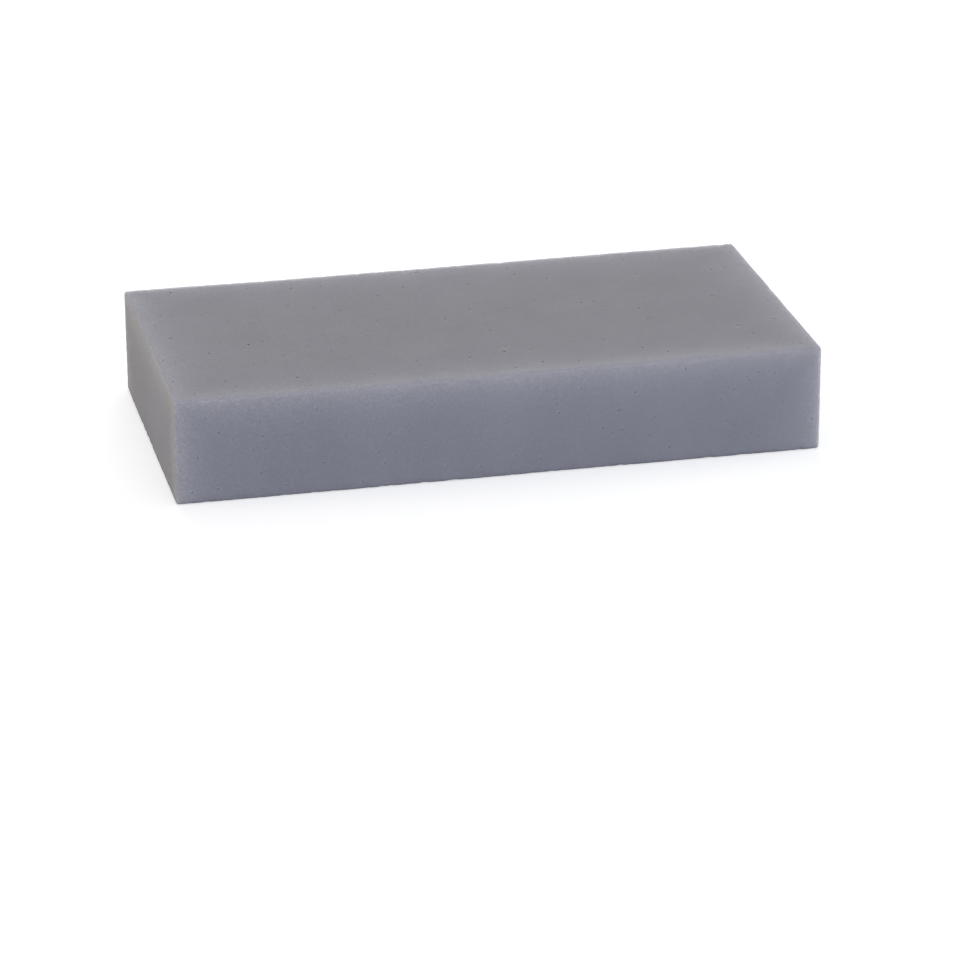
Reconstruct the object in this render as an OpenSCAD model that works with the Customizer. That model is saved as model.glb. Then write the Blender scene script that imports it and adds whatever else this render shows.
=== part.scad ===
// Melamine foam cleaning sponge.
// One piece of very fine open-celled foam, sawn to a plain rectangular block.
// The saw leaves flat faces and crisp edges that soften a little with handling,
// and where it cuts through an oversized bubble, a small round pit stays open.
// Origin: centre of the underside. +X runs along the length, +Z is up.

/* [Block] */
// Length of the block
block_l = 120; // [80:1:160]
// Width of the block
block_w = 60; // [40:1:90]
// Height of the block
block_h = 20; // [12:0.5:40]

/* [Edges] */
// Radius that the sawn edges soften to
edge_r = 0.5; // [0.3:0.05:2]

/* [Burst bubbles] */
// Largest side of the patch of face in which one bubble may lie
patch = 6; // [5:0.1:15]
// Share of the patches that hold a bubble
bubble_share = 0.8; // [0.1:0.05:1]
// Radius of the smallest bubble
bubble_r_min = 0.16; // [0.12:0.01:0.3]
// Radius of the largest bubble
bubble_r_max = 0.36; // [0.3:0.01:0.9]
// Depth of a bubble's centre under the face, as a share of its radius
bubble_sink = 0.45; // [0:0.05:0.7]
// Least width of foam left standing between two bubbles, or a bubble and an edge
bubble_wall = 0.4; // [0.2:0.1:1]

/* [Hidden] */

// How strongly the bubble sizes lean to the small end
SIZE_LEAN = 2;
// Segments drawn for a circle of an edge and for a bubble, which are both true curves
EDGE_SEGMENTS = 48;
BUBBLE_SEGMENTS = 32;
// What each of a bubble's random numbers is for
PRESENCE = 0;
SIZE = 1;
ALONG = 2;
ACROSS = 3;

// Border of each face that no bubble enters: bubbles of two faces never meet at an edge
bubble_depth = bubble_r_max * (1 + bubble_sink);
border = max(edge_r, bubble_depth) + bubble_wall;

// The six faces: size along and across, turn from facing up, and centre
FACES = [
    [block_l, block_w, [0, 0, 0],   [0, 0, block_h]],
    [block_l, block_w, [180, 0, 0], [0, 0, 0]],
    [block_l, block_h, [90, 0, 0],  [0, -block_w / 2, block_h / 2]],
    [block_l, block_h, [-90, 0, 0], [0, block_w / 2, block_h / 2]],
    [block_h, block_w, [0, -90, 0], [-block_l / 2, 0, block_h / 2]],
    [block_h, block_w, [0, 90, 0],  [block_l / 2, 0, block_h / 2]],
];

// A repeatable number from 0 to 1 for one use of one patch of one face
function chance(face, i, j, use) =
    let (v = 437.585453 * sin(127.1 * i + 311.7 * j + 74.7 * face + 53.9 * use))
    v - floor(v);

// Rectangle with true arcs at its corners
module rounded_rectangle(along, across, radius) {
    square([along - 2 * radius, across], center = true);
    square([along, across - 2 * radius], center = true);
    for (x = [-1, 1], y = [-1, 1])
        translate([x * (along / 2 - radius), y * (across / 2 - radius)])
            circle(radius, $fn = EDGE_SEGMENTS);
}

// The sawn block: where its three outlines meet, all twelve edges are rounded
module sawn_block() {
    translate([0, 0, block_h / 2])
        intersection() {
            linear_extrude(block_h, center = true)
                rounded_rectangle(block_l, block_w, edge_r);
            rotate([90, 0, 0])
                linear_extrude(block_w, center = true)
                    rounded_rectangle(block_l, block_h, edge_r);
            rotate([90, 0, 90])
                linear_extrude(block_l, center = true)
                    rounded_rectangle(block_w, block_h, edge_r);
        }
}

// One burst bubble, open to the plane z = 0
module bubble(radius) {
    translate([0, 0, -bubble_sink * radius])
        sphere(radius, $fn = BUBBLE_SEGMENTS);
}

// The burst bubbles of one face, which lies in the plane z = 0 about the origin
module face_bubbles(face, along, across) {
    clear = [along - 2 * border, across - 2 * border];
    count = [ceil(clear.x / patch), ceil(clear.y / patch)];
    step = [clear.x / count.x, clear.y / count.y];
    for (i = [0 : count.x - 1], j = [0 : count.y - 1])
        if (chance(face, i, j, PRESENCE) < bubble_share) {
            radius = bubble_r_min
                + (bubble_r_max - bubble_r_min) * pow(chance(face, i, j, SIZE), SIZE_LEAN);
            reach = radius + bubble_wall / 2;
            translate([
                i * step.x - clear.x / 2 + reach + (step.x - 2 * reach) * chance(face, i, j, ALONG),
                j * step.y - clear.y / 2 + reach + (step.y - 2 * reach) * chance(face, i, j, ACROSS)
            ])
                bubble(radius);
        }
}

// The sponge: the sawn block, opened by the bubbles of its six faces
module foam_block() {
    color("#8A8990")
        difference() {
            sawn_block();
            for (face = [0 : len(FACES) - 1])
                translate(FACES[face][3])
                    rotate(FACES[face][2])
                        face_bubbles(face, FACES[face][0], FACES[face][1]);
        }
}

foam_block();
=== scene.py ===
"""A grey melamine foam sponge on a pale studio floor.

The block's size and place come from the frame. Its skin is built here: flat sawn faces with a
little waviness, edges that have crumbled soft, and the burst bubbles as open pits, at the same
places as in the frame's solid. Lengths are in metres.
"""

import math
from collections import namedtuple

import bpy
import numpy as np
from mathutils import Euler, Matrix, Vector, noise
from mathutils.geometry import delaunay_2d_cdt


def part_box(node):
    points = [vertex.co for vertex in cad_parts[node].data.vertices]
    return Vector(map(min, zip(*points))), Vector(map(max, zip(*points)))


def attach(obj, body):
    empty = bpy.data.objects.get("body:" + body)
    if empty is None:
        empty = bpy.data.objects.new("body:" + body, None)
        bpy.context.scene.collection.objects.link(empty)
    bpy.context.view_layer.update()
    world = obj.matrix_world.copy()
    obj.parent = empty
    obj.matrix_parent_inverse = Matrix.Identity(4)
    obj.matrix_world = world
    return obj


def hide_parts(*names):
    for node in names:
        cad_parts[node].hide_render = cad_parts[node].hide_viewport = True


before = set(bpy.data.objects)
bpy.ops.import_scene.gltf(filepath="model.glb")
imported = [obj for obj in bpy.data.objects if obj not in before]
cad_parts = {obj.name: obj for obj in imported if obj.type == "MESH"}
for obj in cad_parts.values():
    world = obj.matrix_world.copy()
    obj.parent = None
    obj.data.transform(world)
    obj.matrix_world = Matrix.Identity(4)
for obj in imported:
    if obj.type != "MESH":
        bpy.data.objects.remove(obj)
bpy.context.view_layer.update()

MM = 0.001
TINY = 1e-9
NODE = "foam_block"

# The block, from the frame
low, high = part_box(NODE)
CENTRE = (low + high) / 2
LENGTH, WIDTH, HEIGHT = high - low
HALF = (high - low) / 2

# Edges
EDGE_RADIUS = 0.5 * MM

# Burst bubbles: the same rule and sizes as the solid's
PATCH = 6 * MM
BUBBLE_SHARE = 0.8
BUBBLE_R_MIN = 0.16 * MM
BUBBLE_R_MAX = 0.36 * MM
BUBBLE_SINK = 0.45
BUBBLE_WALL = 0.4 * MM
SIZE_LEAN = 2              # how strongly the sizes lean to the small end, the pores' too
PRESENCE, SIZE, ALONG, ACROSS = range(4)

# Pores: smaller bubbles, which only this script adds
PORE_AREA = 10 * MM * MM   # of face for each pore tried
PORE_R_MIN = 0.08 * MM
PORE_R_MAX = 0.18 * MM
PORE_SINK = 0.3
PORE_WALL = 0.35 * MM      # of foam between a pore and what is next to it
CROWD_SIZE = 14 * MM       # breadth of the noise that crowds the pores in some places
CROWD_SEED = 6
CROWD_CHANCE = 0.6         # the more of it, the less that noise decides
CROWD_LIFT = 0.15          # the more of it, the more of the pores tried are kept

# Mesh fineness
EDGE_STEPS = 3             # rows of points from a face to the middle of an edge
EDGE_SPACING = 0.4 * MM    # along the edges
FACE_SPACING = 0.8 * MM    # over the faces
UNDER_SPACING = 1.1 * MM   # over the underside
LATTICE_JITTER = 0.22      # how far a point strays from its row, as a share of the spacing
HOLE_CLEARANCE = 0.4       # from a hole to the next point, as a share of the spacing
BUBBLE_POINTS = 12         # round a bubble's rim
BUBBLE_RINGS = 4           # from a bubble's rim down to its floor
PORE_POINTS = 8
PORE_RINGS = 2

# Outlines of the holes: waves round the rim, and the most that each can change the radius by
OUTLINE_WAVES = ((2, 0.20), (3, 0.12))
OUTLINE_LEAST = 0.3        # least share of that which a hole gets

# Sag, and the edges' look
SEED = 7
TOP_SAG = 0.3 * MM         # how far the top dips where the block has taken a set
SAG_X = -14 * MM
SAG_REACH = 45 * MM
PAINTED_GLOW_REACH = 4.0 * MM      # from an upper or upright edge to where half of its painted glow is left
DARK_BAND_REACH = 0.6 * MM      # over which the darker band by an edge fades
DARK_BAND_SHADE = 0.84          # of the foam's colour, on the edge itself

# Swells of the faces: height, breadth and seed of each noise
SWELLS = (
    (0.10 * MM, 38 * MM, 1),
    (0.05 * MM, 9 * MM, 2),
    (0.03 * MM, 2.4 * MM, 3),
    (0.012 * MM, 0.9 * MM, 6),
)

# Crumbs that the edges lose: weight, breadth and seed of each noise, and the level that it passes
CRUMBS = (
    (0.5, 1.3 * MM, 4, 0.12),
    (0.9, 3.1 * MM, 5, 0.38),
)
CRUMBLE_BASE = 0.05        # weight of what is lost all along the edges
CRUMBLE_DEPTH = 0.45 * MM  # lost at a weight of 1
CRUMBLE_REACH = 0.9 * MM   # over which the crumbling fades, away from an edge
CRUMBLE_LEAST = 0.01       # share of the loss under which it is left out
EDGE_TURN = 24             # how suddenly "outward" turns from one face's way to the next one's

# Colour inside a face's bubbles and inside its pores, as shares of the foam's at the block's left
# and right end. They are matched at the photograph's angle, where the pits of the top are
# darker than those of the front. Above 1 a pit can show as a pale dot where a lamp shines in.
# Painted light and shade: the colour in the pits stands in for how they are lit, darker in the
# top's pits and paler in the sides' bubbles, where light comes in through the thin foam. It changes
# from the block's left end to its right.
TOP_PIT_PAINTED_LIGHT = ((0.95, 1.20), (0.80, 1.05))
SIDE_PIT_PAINTED_LIGHT = ((1.43, 1.47), (0.94, 1.02))

# How much of the foam's glow is left at the rim of a hole, where the foam is thin
RIM_GLOW = 0.65

Face = namedtuple("Face", "along across turn centre spacing shades")
Hole = namedtuple("Hole", "u v radius sink points rings shades")


def block_faces():
    """The six faces: size along and across, turn from facing up, centre, spacing of the points
    and the painted light and shade of its bubbles and pores."""
    x, y, z = HALF
    return [
        Face(LENGTH, WIDTH, (0, 0, 0), (0, 0, z), FACE_SPACING, TOP_PIT_PAINTED_LIGHT),
        Face(LENGTH, WIDTH, (180, 0, 0), (0, 0, -z), UNDER_SPACING, TOP_PIT_PAINTED_LIGHT),
        Face(LENGTH, HEIGHT, (90, 0, 0), (0, -y, 0), FACE_SPACING, SIDE_PIT_PAINTED_LIGHT),
        Face(LENGTH, HEIGHT, (-90, 0, 0), (0, y, 0), FACE_SPACING, SIDE_PIT_PAINTED_LIGHT),
        Face(HEIGHT, WIDTH, (0, -90, 0), (-x, 0, 0), FACE_SPACING, SIDE_PIT_PAINTED_LIGHT),
        Face(HEIGHT, WIDTH, (0, 90, 0), (x, 0, 0), FACE_SPACING, SIDE_PIT_PAINTED_LIGHT),
    ]


def chance(face, i, j, use):
    """A repeatable number from 0 to 1 for one use of one patch of one face, as in the solid."""
    angle = math.radians(127.1 * i + 311.7 * j + 74.7 * face + 53.9 * use)
    value = 437.585453 * math.sin(angle)
    return value - math.floor(value)


def face_bubbles(face, along, across, shades):
    """The burst bubbles of one face."""
    border = max(EDGE_RADIUS, BUBBLE_R_MAX * (1 + BUBBLE_SINK)) + BUBBLE_WALL
    clear = (along - 2 * border, across - 2 * border)
    count = [math.ceil(round(c / PATCH, 6)) for c in clear]
    step = [c / n for c, n in zip(clear, count)]
    found = []
    for i in range(count[0]):
        for j in range(count[1]):
            if chance(face, i, j, PRESENCE) >= BUBBLE_SHARE:
                continue
            radius = BUBBLE_R_MIN
            radius += (BUBBLE_R_MAX - BUBBLE_R_MIN) * chance(face, i, j, SIZE) ** SIZE_LEAN
            reach = radius + BUBBLE_WALL / 2
            place = [
                k * s - c / 2 + reach + (s - 2 * reach) * chance(face, i, j, use)
                for k, s, c, use in zip((i, j), step, clear, (ALONG, ACROSS))
            ]
            found.append(Hole(*place, radius, BUBBLE_SINK, BUBBLE_POINTS, BUBBLE_RINGS, shades))
    return found


def face_pores(along, across, bubbles, shades, rng):
    """The pores of one face: strewn by chance, thicker in some places than in others."""
    border = EDGE_RADIUS + PORE_WALL + PORE_R_MAX
    found = []
    taken = [(b.u, b.v, b.radius) for b in bubbles]
    for _ in range(round(along * across / PORE_AREA)):
        u = rng.uniform(-1, 1) * (along / 2 - border)
        v = rng.uniform(-1, 1) * (across / 2 - border)
        radius = PORE_R_MIN + (PORE_R_MAX - PORE_R_MIN) * rng.uniform() ** SIZE_LEAN
        crowd = waviness((u, v, along), CROWD_SIZE, CROWD_SEED)
        near = np.array(taken)
        reach = near[:, 2] + radius + PORE_WALL
        clear = np.all(np.hypot(near[:, 0] - u, near[:, 1] - v) > reach)
        if clear and rng.uniform(-CROWD_CHANCE, CROWD_CHANCE) < crowd + CROWD_LIFT:
            found.append(Hole(u, v, radius, PORE_SINK, PORE_POINTS, PORE_RINGS, shades))
            taken.append((u, v, radius))
    return found


def ticks(size):
    """Places of the rows of points across a face: close together over the edges' rounding."""
    half = size / 2
    turn = [math.radians(45) * k / EDGE_STEPS for k in range(EDGE_STEPS + 1)]
    margin = [EDGE_RADIUS * (1 - math.tan(a)) for a in turn]
    flat = size - 2 * EDGE_RADIUS
    count = round(flat / EDGE_SPACING)
    middle = [-half + EDGE_RADIUS + flat * k / count for k in range(1, count)]
    return sorted([-half + m for m in margin] + middle + [half - m for m in margin])


def margin_points(along, across):
    """Points over the margins of a face, as far in as the edges' rounding reaches."""
    reach = 1.001 * EDGE_RADIUS  # takes in the row where the rounding ends
    u_flat = along / 2 - reach
    v_flat = across / 2 - reach
    return [
        (u, v) for u in ticks(along) for v in ticks(across) if abs(u) > u_flat or abs(v) > v_flat
    ]


def lattice_points(along, across, spacing, holes, rng):
    """Points over the flat of a face, in rows a little out of line, clear of the holes."""
    row_gap = spacing * math.sqrt(3) / 2
    u_reach = along / 2 - EDGE_RADIUS - spacing / 2
    v_reach = across / 2 - EDGE_RADIUS - spacing / 2
    columns = np.linspace(-u_reach, u_reach, round(2 * u_reach / spacing))
    rows = np.linspace(-v_reach, v_reach, round(2 * v_reach / row_gap))
    u, v = np.meshgrid(columns, rows)
    u[1::2] += spacing / 2
    u = (u + rng.uniform(-LATTICE_JITTER, LATTICE_JITTER, u.shape) * spacing).ravel()
    v = (v + rng.uniform(-LATTICE_JITTER, LATTICE_JITTER, v.shape) * spacing).ravel()
    keep = np.abs(u) < u_reach + spacing / 4
    for hole in holes:
        keep &= np.hypot(u - hole.u, v - hole.v) > hole.radius + HOLE_CLEARANCE * spacing
    return [tuple(p) for p in np.stack([u[keep], v[keep]], 1)]


def hole_outline(hole, rng):
    """A hole's outline, as offsets for a radius of 1: not quite round."""
    angle = np.arange(hole.points) * 2 * math.pi / hole.points + rng.uniform(0, 1)
    shape = np.ones(hole.points)
    for wave, most in OUTLINE_WAVES:
        size = most * rng.uniform(OUTLINE_LEAST, 1)
        shape += size * np.cos(wave * angle + rng.uniform(0, 2 * math.pi))
    return np.stack([shape * np.cos(angle), shape * np.sin(angle)], 1)


class Skin:
    """The points and triangles of the block's surface, gathered face by face."""

    def __init__(self):
        self.points = []      # on the plain block, before rounding and roughening
        self.glow = []        # of each point: how much light gets through the foam, 0 in the holes
        self.triangles = []
        self.pit_painted_light = []  # of each triangle: the painted light and shade of its pit, or 0 on the faces
        self.rims = []        # pairs of points along the holes' rims

    def add_points(self, points, glow):
        """Adds points with the glow of each, and gives the number of the first."""
        start = len(self.points)
        self.points += points
        self.glow += glow
        return start

    def add_triangles(self, triangles, pit_painted_light):
        """Adds triangles, each as the numbers of its points, that share one pit's painted light and
        shade, or 0 on the faces.
        """
        self.triangles += triangles
        self.pit_painted_light += [pit_painted_light] * len(triangles)


def add_face(skin, number, face, rng):
    """Covers one face with triangles, down into its bubbles and pores."""
    turn = Euler([math.radians(a) for a in face.turn])
    placed = Matrix.Translation(face.centre) @ turn.to_matrix().to_4x4()
    bubble_painted_light, pore_painted_light = face.shades
    holes = face_bubbles(number, face.along, face.across, bubble_painted_light)
    holes += face_pores(face.along, face.across, holes, pore_painted_light, rng)
    outlines = [hole_outline(hole, rng) for hole in holes]

    flat = margin_points(face.along, face.across)
    flat += lattice_points(face.along, face.across, face.spacing, holes, rng)
    owner = [-1] * len(flat)  # the hole on whose rim a point lies
    constraints = []
    for k, (hole, outline) in enumerate(zip(holes, outlines)):
        first = len(flat)
        mouth = hole.radius * math.sqrt(1 - hole.sink ** 2)
        flat += [(hole.u + mouth * x, hole.v + mouth * y) for x, y in outline]
        owner += [k] * hole.points
        constraints += [(first + m, first + (m + 1) % hole.points) for m in range(hole.points)]

    # The triangulation works best on numbers near 1
    made = delaunay_2d_cdt([Vector(p) / MM for p in flat], constraints, [], 0, 1e-7)
    made_points, _, made_triangles, sources = made[:4]
    if len(made_points) != len(flat):
        raise ValueError(f"face {number}: the triangulation changed its points")
    glow = [1.0 if k < 0 else RIM_GLOW for k in owner]
    base = skin.add_points([placed @ Vector((u, v, 0)) for u, v in flat], glow)
    skin.rims += [(base + a, base + b) for a, b in constraints]
    # A triangle with all its corners on one rim is left out: it is in the hole's mouth, or else a
    # sliver beside a dent in the rim
    for triangle in made_triangles:
        corners = [sources[k][0] for k in triangle]
        owners = {owner[k] for k in corners}
        if len(owners) > 1 or -1 in owners:
            skin.add_triangles([[base + k for k in corners]], 0.0)
    for k, (hole, outline) in enumerate(zip(holes, outlines)):
        line_hole(skin, placed, base + owner.index(k), hole, outline)


def line_hole(skin, placed, rim, hole, outline):
    """Lines one hole, from its rim to its floor. It widens under the rim first."""
    place = placed @ Vector((hole.u, hole.v, 0))
    # The lining's painted light and shade, from its value at the block's left end to that at its
    # right
    left, right = hole.shades
    shade = left + (right - left) * (place.x / HALF.x + 1) / 2
    steps = [(k, (k + 1) % hole.points) for k in range(hole.points)]
    start = math.acos(hole.sink)
    above = rim
    for ring in range(1, hole.rings):
        polar = start + (math.pi - start) * ring / hole.rings
        z = hole.radius * (math.cos(polar) - hole.sink)
        reach = hole.radius * math.sin(polar)
        places = [
            placed @ Vector((hole.u + reach * x, hole.v + reach * y, z)) for x, y in outline
        ]
        below = skin.add_points(places, [0.0] * len(places))
        for a, b in steps:
            first = [above + a, above + b, below + b]
            second = [above + a, below + b, below + a]
            skin.add_triangles([first, second], shade)
        above = below
    depth = hole.radius * (1 + hole.sink)
    floor = skin.add_points([placed @ Vector((hole.u, hole.v, -depth))], [0.0])
    skin.add_triangles([[above + a, above + b, floor] for a, b in steps], shade)


def round_edges(points):
    """Bends the outer margins of the faces round the edges' radius."""
    core = np.array(HALF) - EDGE_RADIUS
    inner = np.clip(points, -core, core)
    out = points - inner
    reach = np.linalg.norm(out, axis=1, keepdims=True)
    margin = (np.abs(out) > TINY).sum(1, keepdims=True) > 1
    return np.where(margin, inner + out * EDGE_RADIUS / np.maximum(reach, TINY), points)


def waviness(place, size, seed):
    """Smooth noise from -1 to 1 whose swells are about size across."""
    return noise.noise(Vector(place) / size + Vector((seed, 2.3 * seed, -1.7 * seed)))


def crumbled(place, near):
    """How much of the foam has crumbled away. near goes from 0 to 1 on the edge itself."""
    if near <= CRUMBLE_LEAST:
        return 0.0
    loss = CRUMBLE_BASE
    for weight, size, seed, level in CRUMBS:
        loss += weight * max(0, waviness(place, size, seed) - level)
    return near * loss * CRUMBLE_DEPTH


def roughen(points, edge_distance):
    """The saw's waviness, the foam's roughness and the crumbling of the edges."""
    direction = points / np.array(HALF)
    direction = np.sign(direction) * np.abs(direction) ** EDGE_TURN
    direction /= np.maximum(np.linalg.norm(direction, axis=1, keepdims=True), TINY)
    moved = points.copy()
    for k, place in enumerate(points):
        out = sum(height * waviness(place, size, seed) for height, size, seed in SWELLS)
        out -= crumbled(place, math.exp(-(edge_distance[k] / CRUMBLE_REACH) ** 2))
        moved[k] += direction[k] * out
    sag = TOP_SAG * np.exp(-((points[:, 0] - SAG_X) / SAG_REACH) ** 2)
    moved[:, 2] -= sag * (points[:, 2] / HALF.z + 1) / 2
    return moved


def build_skin():
    """The sponge's surface as one mesh. It is closed but for a few slivers, which add_face leaves
    out where a hole's rim has a dent."""
    rng = np.random.default_rng(SEED)
    skin = Skin()
    for number, face in enumerate(block_faces()):
        add_face(skin, number, face, rng)
    points = np.array([tuple(p) for p in skin.points])

    # Points that two or three faces share become one
    keys = {}
    joined = [keys.setdefault(tuple(np.round(p / MM, 4)), k) for k, p in enumerate(points)]
    kept = sorted(set(joined))
    renumber = {old: new for new, old in enumerate(kept)}
    triangles = [[renumber[joined[k]] for k in t] for t in skin.triangles]
    points = points[kept]

    gap = np.abs(np.abs(points) - np.array(HALF))
    edge_distance = np.sort(gap, axis=1)[:, 1]
    # A darker band along every edge, darkest on the edge itself; on the upper edges it takes the
    # peak off the painted glow
    edge_darkening = 1 - (1 - DARK_BAND_SHADE) * np.exp(-(edge_distance / DARK_BAND_REACH) ** 2)
    gap[:, 2] = HALF.z - points[:, 2]  # the lower edges lie on the floor in shade, and get no painted glow
    # Painted glow: a paler colour by the upper and upright edges, where light comes through from
    # the next face
    painted_glow_and_crumbs = 1 / (1 + (np.sort(gap, axis=1)[:, 1] / PAINTED_GLOW_REACH) ** 2)
    shaped = roughen(round_edges(points), edge_distance)
    shaped += np.array(CENTRE)
    shaped[:, 2] = np.maximum(shaped[:, 2], low.z)

    mesh = bpy.data.meshes.new("sponge_skin")
    mesh.from_pydata([tuple(p) for p in shaped], [], triangles)
    add_attribute(mesh, "painted_glow_and_crumbs", "FLOAT", "POINT", painted_glow_and_crumbs)
    add_attribute(mesh, "edge_darkening", "FLOAT", "POINT", edge_darkening)
    add_attribute(mesh, "glow", "FLOAT", "POINT", np.array(skin.glow)[kept])
    add_attribute(mesh, "pit_painted_light", "FLOAT", "FACE", skin.pit_painted_light)
    mesh.polygons.foreach_set("use_smooth", [True] * len(mesh.polygons))
    sharpen(mesh, [(renumber[joined[a]], renumber[joined[b]]) for a, b in skin.rims])
    mesh.update()
    return mesh


def add_attribute(mesh, name, kind, domain, values):
    """Gives a mesh a value for each of its points, edges or faces."""
    mesh.attributes.new(name, kind, domain).data.foreach_set("value", values)


def sharpen(mesh, pairs):
    """Marks the edges between the given pairs of points as sharp."""
    ends = np.empty(2 * len(mesh.edges), np.int64)
    mesh.edges.foreach_get("vertices", ends)
    count = len(mesh.vertices)
    names = np.sort(ends.reshape(-1, 2), 1) @ (count, 1)
    sharp = np.isin(names, np.sort(np.array(pairs), 1) @ (count, 1))
    add_attribute(mesh, "sharp_edge", "BOOLEAN", "EDGE", sharp)


class Nodes:
    """A short way to write the nodes of a material or a world."""

    def __init__(self, owner):
        owner.use_nodes = True
        self.tree = owner.node_tree
        self.tree.nodes.clear()

    def add(self, kind, inputs=None, **settings):
        """Adds a node. Each of its inputs is a value or another node's output."""
        node = self.tree.nodes.new(kind)
        for name, value in settings.items():
            setattr(node, name, value)
        for name, value in (inputs or {}).items():
            if isinstance(value, bpy.types.NodeSocket):
                self.tree.links.new(value, node.inputs[name])
            else:
                node.inputs[name].default_value = value
        return node

    def math(self, operation, a, b=0.0, clamp=False):
        """A sum on two numbers."""
        node = self.add("ShaderNodeMath", {0: a, 1: b}, operation=operation, use_clamp=clamp)
        return node.outputs[0]

    def remap(self, value, low_in, high_in, low_out, high_out):
        """A number's place in one range, carried over to another range."""
        node = self.add("ShaderNodeMapRange", {
            "Value": value, "From Min": low_in, "From Max": high_in,
            "To Min": low_out, "To Max": high_out})
        return node.outputs["Result"]

    def blend(self, share, extra, base):
        """The base, with a share of an extra added to it: all three are vectors or colours."""
        node = self.add(
            "ShaderNodeVectorMath", {0: share, 1: extra, 2: base}, operation="MULTIPLY_ADD")
        return node.outputs[0]

    def part(self, vector, axis):
        """A vector's X, Y or Z."""
        return self.add("ShaderNodeSeparateXYZ", {0: vector}).outputs[axis]

    def attribute(self, name):
        """What the mesh says of the place under this name."""
        return self.add("ShaderNodeAttribute", attribute_name=name).outputs["Fac"]


# Colours. By an upper or upright edge, the light that comes through from the face on its other
# side is painted in as a paler glow. It is bluer on the top, and warmer on the sides.
FOAM_COLOUR = Vector((0.244, 0.242, 0.266))
TOP_PAINTED_GLOW_COLOUR = Vector((0.330, 0.323, 0.362))
SIDE_PAINTED_GLOW_COLOUR = Vector((0.330, 0.3235, 0.337))
TOP_FROM = 0.75            # Z of the surface's normal, up or down, where the top's painted glow colour begins

# Pattern: fine cells and grain, and large faint blotches. The scales are for each metre.
CELL_SCALE = 2400.0
CELL_RANGE = (0.0, 0.9)    # of the cells' own values, spread over the shades below
CELL_SHADES = (0.94, 1.05)
GRAIN_SCALE = 1500.0
GRAIN_SHADES = (0.96, 1.04)
BLOTCH_SCALE = 110.0
BLOTCH_STRETCH = (1, 1, 0.3)
BLOTCH_SHADES = (0.97, 1.03)
NOISE_RANGE = (0.3, 0.7)   # of the grain's and the blotches' own values
COARSENESS = (1.15, 0.55)  # contrast of the cells and grain at the left and the right end
EDGE_COARSENESS = 0.85     # more of it by the edges
CELL_HEIGHT = 0.6          # of the cells in the bump, where the grain's is 1
BUMP_STRENGTH = 0.35
BUMP_HEIGHT = 0.06 * MM

# Surface
ROUGHNESS = 0.95
SPECULAR = 0.15
GLOW_DEPTH = 5 * MM        # how far light travels inside the foam


def foam_pattern(n, place, painted_glow_and_crumbs):
    """The pattern, as a shade to multiply the colour by, and as the bump's direction."""
    cells = n.add("ShaderNodeTexVoronoi", {
        "Vector": place, "Scale": CELL_SCALE}).outputs["Distance"]
    grain = n.add("ShaderNodeTexNoise", {
        "Vector": place, "Scale": GRAIN_SCALE, "Detail": 4.0, "Roughness": 0.7}).outputs["Fac"]
    stretched = n.add("ShaderNodeMapping", {
        "Vector": place, "Scale": BLOTCH_STRETCH}).outputs[0]
    blotch = n.add("ShaderNodeTexNoise", {
        "Vector": stretched, "Scale": BLOTCH_SCALE, "Detail": 3.0, "Roughness": 0.6}).outputs["Fac"]

    cell_shade = n.remap(cells, *CELL_RANGE, *CELL_SHADES)
    grain_shade = n.remap(grain, *NOISE_RANGE, *GRAIN_SHADES)
    blotch_shade = n.remap(blotch, *NOISE_RANGE, *BLOTCH_SHADES)
    coarseness = n.remap(n.part(place, "X"), -HALF.x, HALF.x, *COARSENESS)
    by_edge = n.remap(n.math("POWER", painted_glow_and_crumbs, 2.0), 0.0, 1.0, 1.0, 1.0 + EDGE_COARSENESS)
    coarseness = n.math("MULTIPLY", coarseness, by_edge)
    fine = n.math("POWER", n.math("MULTIPLY", cell_shade, grain_shade), coarseness)

    height = n.math("ADD", n.math("MULTIPLY", cells, CELL_HEIGHT), grain)
    bump = n.add("ShaderNodeBump", {
        "Height": height, "Strength": BUMP_STRENGTH, "Distance": BUMP_HEIGHT})
    return n.math("MULTIPLY", fine, blotch_shade), bump.outputs[0]


def foam_colour_and_painted_glow(n, painted_glow_and_crumbs):
    """The foam's colour, with painted glow by the upper and upright edges."""
    normal = n.add("ShaderNodeNewGeometry").outputs["Normal"]
    upward = n.remap(n.math("ABSOLUTE", n.part(normal, "Z")), TOP_FROM, 1.0, 0.0, 1.0)
    side_painted_glow = SIDE_PAINTED_GLOW_COLOUR - FOAM_COLOUR
    painted_glow_extra = n.blend(upward, TOP_PAINTED_GLOW_COLOUR - SIDE_PAINTED_GLOW_COLOUR, side_painted_glow)
    return n.blend(painted_glow_and_crumbs, painted_glow_extra, FOAM_COLOUR)


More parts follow.
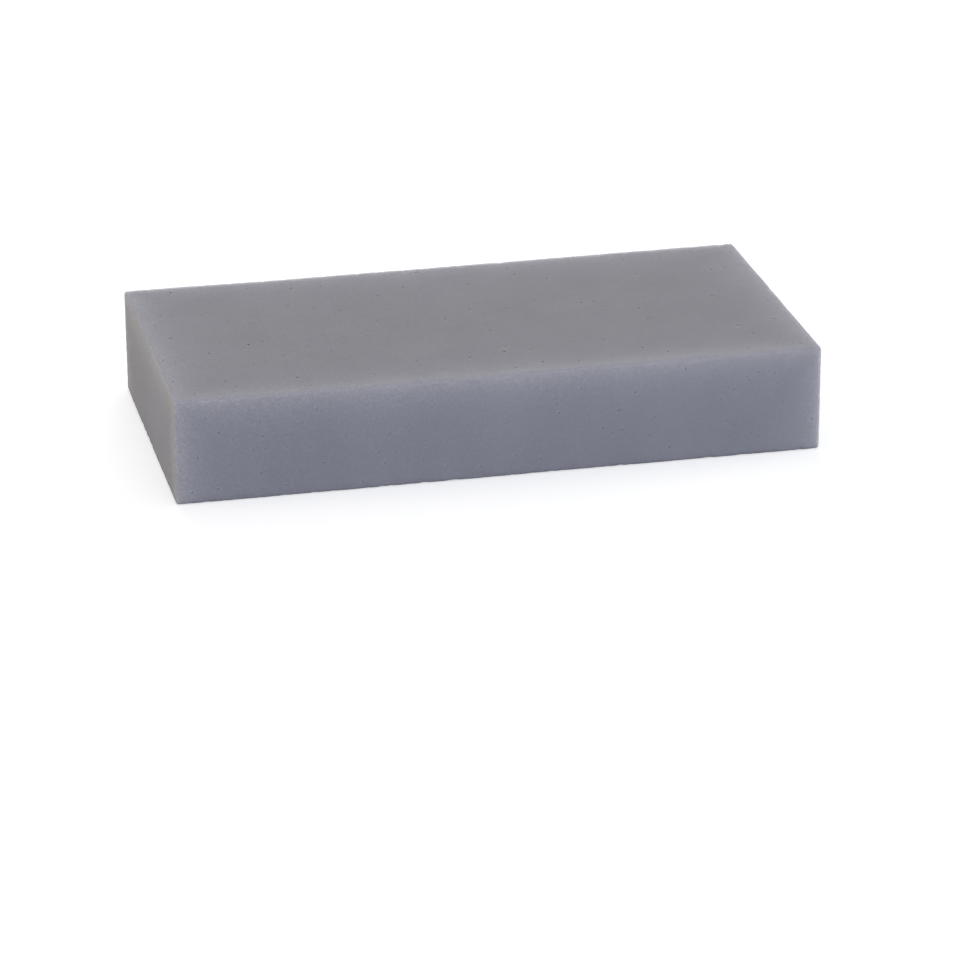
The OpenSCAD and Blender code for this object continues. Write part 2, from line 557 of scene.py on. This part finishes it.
def foam_material():
    """Fine open-celled foam: matt, a little see-through, with cells, mottling, painted glow by the
    edges and painted light and shade in the pits.
    """
    material = bpy.data.materials.new("melamine_foam")
    n = Nodes(material)
    place = n.add("ShaderNodeTexCoord").outputs["Object"]
    painted_glow_and_crumbs = n.attribute("painted_glow_and_crumbs")
    pattern, bump = foam_pattern(n, place, painted_glow_and_crumbs)

    hole = n.attribute("pit_painted_light")
    whole = n.math("LESS_THAN", hole, 0.01)  # 1 on the faces, whose painted pit light is 0
    # Shade of the colour: the darker band by the edges, times the pits' painted light and shade
    shade = n.math("MULTIPLY", n.attribute("edge_darkening"), n.math("ADD", hole, whole))
    shade = n.math("MULTIPLY", shade, pattern)
    colour = n.add("ShaderNodeVectorMath", {
        0: foam_colour_and_painted_glow(n, painted_glow_and_crumbs), "Scale": shade}, operation="SCALE")

    surface = n.add("ShaderNodeBsdfPrincipled", {
        "Base Color": colour.outputs[0],
        "Roughness": ROUGHNESS,
        "Specular IOR Level": SPECULAR,
        "Subsurface Weight": n.attribute("glow"),
        "Subsurface Radius": (1.0, 1.0, 1.0),
        "Subsurface Scale": GLOW_DEPTH,
        "Normal": bump,
    }, subsurface_method="RANDOM_WALK")
    n.add("ShaderNodeOutputMaterial", {"Surface": surface.outputs[0]})
    return material


def make_sponge():
    """The sponge, which is the object's only piece."""
    sponge = bpy.data.objects.new("sponge", build_skin())
    bpy.context.scene.collection.objects.link(sponge)
    sponge.data.materials.append(foam_material())
    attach(sponge, "root")
    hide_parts(NODE)


# Camera: the photograph's, fitted to the block's corners in its picture of PICTURE pixels a side
PICTURE = 960
FOCAL_PIXELS = 4232.97
SENSOR_WIDTH = 36            # in millimetres
AZIMUTH = -12.657
ELEVATION = 22.362
ROLL = -0.203
DISTANCE = 812.067 * MM
TARGET_RIGHT = -2.352 * MM   # of the block's reference point from the picture's centre
TARGET_UP = -25.270 * MM
REFERENCE_Z = -40 * MM       # the reference point, under the block's base
CLIP_NEAR = 0.05
CLIP_FAR = 20


def make_camera():
    """The camera, which looks along its azimuth and elevation and leans by its roll."""
    a, e, roll = (math.radians(x) for x in (AZIMUTH, ELEVATION, ROLL))
    back = Vector((math.sin(a) * math.cos(e), -math.cos(a) * math.cos(e), math.sin(e)))
    level = Vector((0, 0, 1)).cross(back).normalized()
    upright = back.cross(level)
    right = math.cos(roll) * level + math.sin(roll) * upright
    up = math.cos(roll) * upright - math.sin(roll) * level
    data = bpy.data.cameras.new("camera")
    data.sensor_width = SENSOR_WIDTH
    data.lens = FOCAL_PIXELS / PICTURE * data.sensor_width
    data.clip_start = CLIP_NEAR
    data.clip_end = CLIP_FAR
    camera = bpy.data.objects.new("camera", data)
    bpy.context.scene.collection.objects.link(camera)
    spot = back * DISTANCE - right * TARGET_RIGHT - up * TARGET_UP + Vector((0, 0, REFERENCE_Z))
    turn = Matrix((right, up, back)).transposed().to_4x4()
    camera.matrix_world = Matrix.Translation(spot) @ turn
    bpy.context.scene.camera = camera


# Floor and world
FLOOR_SIZE = 6.0
FLOOR_GAP = 0.02 * MM        # under the block, so that the two never share a plane
FLOOR_GREY = 0.42            # for the light that it sends to the block
FLOOR_WHITE = 0.80           # where it is seen
FLOOR_LIFT = 0.50            # what it gives off where it is seen, so that it comes out white
WORLD_COLOUR = (0.98, 0.99, 1.0, 1)
WORLD_LIGHT = 0.42


def seen_directly(n):
    """1 for rays from the camera, and for those that gloss or glass sends on, and 0 for others."""
    path = n.add("ShaderNodeLightPath").outputs
    seen = n.math("ADD", path["Is Camera Ray"], path["Is Glossy Ray"], clamp=True)
    return n.math("ADD", seen, path["Is Transmission Ray"], clamp=True)


def matt_grey(n, grey):
    """A plain matt surface."""
    return n.add("ShaderNodeBsdfDiffuse", {"Color": (grey, grey, grey, 1)}).outputs[0]


def floor_material():
    """White where it is seen, with the object's shadow on it; a plain pale grey to all else."""
    material = bpy.data.materials.new("pale_floor")
    n = Nodes(material)
    plain = matt_grey(n, FLOOR_GREY)
    lift = n.add("ShaderNodeEmission", {"Color": (1, 1, 1, 1), "Strength": FLOOR_LIFT})
    shown = n.add("ShaderNodeAddShader", {0: matt_grey(n, FLOOR_WHITE), 1: lift.outputs[0]})
    mix = n.add("ShaderNodeMixShader", {0: seen_directly(n), 1: plain, 2: shown.outputs[0]})
    n.add("ShaderNodeOutputMaterial", {"Surface": mix.outputs[0]})
    return material


def make_floor():
    """A wide flat floor, just under the block."""
    half = FLOOR_SIZE / 2
    corners = [(-half, -half, 0), (half, -half, 0), (half, half, 0), (-half, half, 0)]
    mesh = bpy.data.meshes.new("floor")
    mesh.from_pydata(corners, [], [(0, 1, 2, 3)])
    mesh.materials.append(floor_material())
    floor = bpy.data.objects.new("floor", mesh)
    bpy.context.scene.collection.objects.link(floor)
    floor.location.z = low.z - FLOOR_GAP


def make_world():
    """Even light from all round; white to the camera."""
    world = bpy.data.worlds.new("studio")
    bpy.context.scene.world = world
    n = Nodes(world)
    light = n.add("ShaderNodeBackground", {"Color": WORLD_COLOUR, "Strength": WORLD_LIGHT})
    white = n.add("ShaderNodeBackground", {"Color": (1, 1, 1, 1), "Strength": 1.0})
    mix = n.add("ShaderNodeMixShader", {
        0: seen_directly(n), 1: light.outputs[0], 2: white.outputs[0]})
    n.add("ShaderNodeOutputWorld", {"Surface": mix.outputs[0]})


# Lamps: name, place, size, power and colour
WHITE = (1.0, 1.0, 1.0)
COOL = (0.75, 0.81, 1.0)
WARM = (1.0, 0.89, 0.77)
LAMPS = (
    ("key", (-0.15, 0.15, 1.1), (0.9, 0.9), 1.5, WHITE),
    ("front", (0.1, -1.1, 0.10), (1.0, 0.24), 9.4, COOL),
    ("left", (-1.1, 0.0, 0.22), (0.6, 0.4), 3.1, WARM),
    ("back", (0.1, 1.1, 0.22), (0.8, 0.4), 9.0, WHITE),
    ("right", (1.1, 0.1, 0.22), (0.6, 0.4), 4.6, WHITE),
)


def make_lamp(name, place, size, power, colour):
    """A soft oblong lamp that faces the block."""
    data = bpy.data.lights.new(name, "AREA")
    data.shape = "RECTANGLE"
    data.size, data.size_y = size
    data.energy = power
    data.color = colour
    lamp = bpy.data.objects.new(name, data)
    bpy.context.scene.collection.objects.link(lamp)
    lamp.location = place
    lamp.rotation_euler = (Vector(CENTRE) - Vector(place)).to_track_quat("-Z", "Y").to_euler()


make_camera()
make_sponge()
make_floor()
make_world()
for lamp in LAMPS:
    make_lamp(*lamp)
bpy.context.scene.view_settings.view_transform = "Standard"
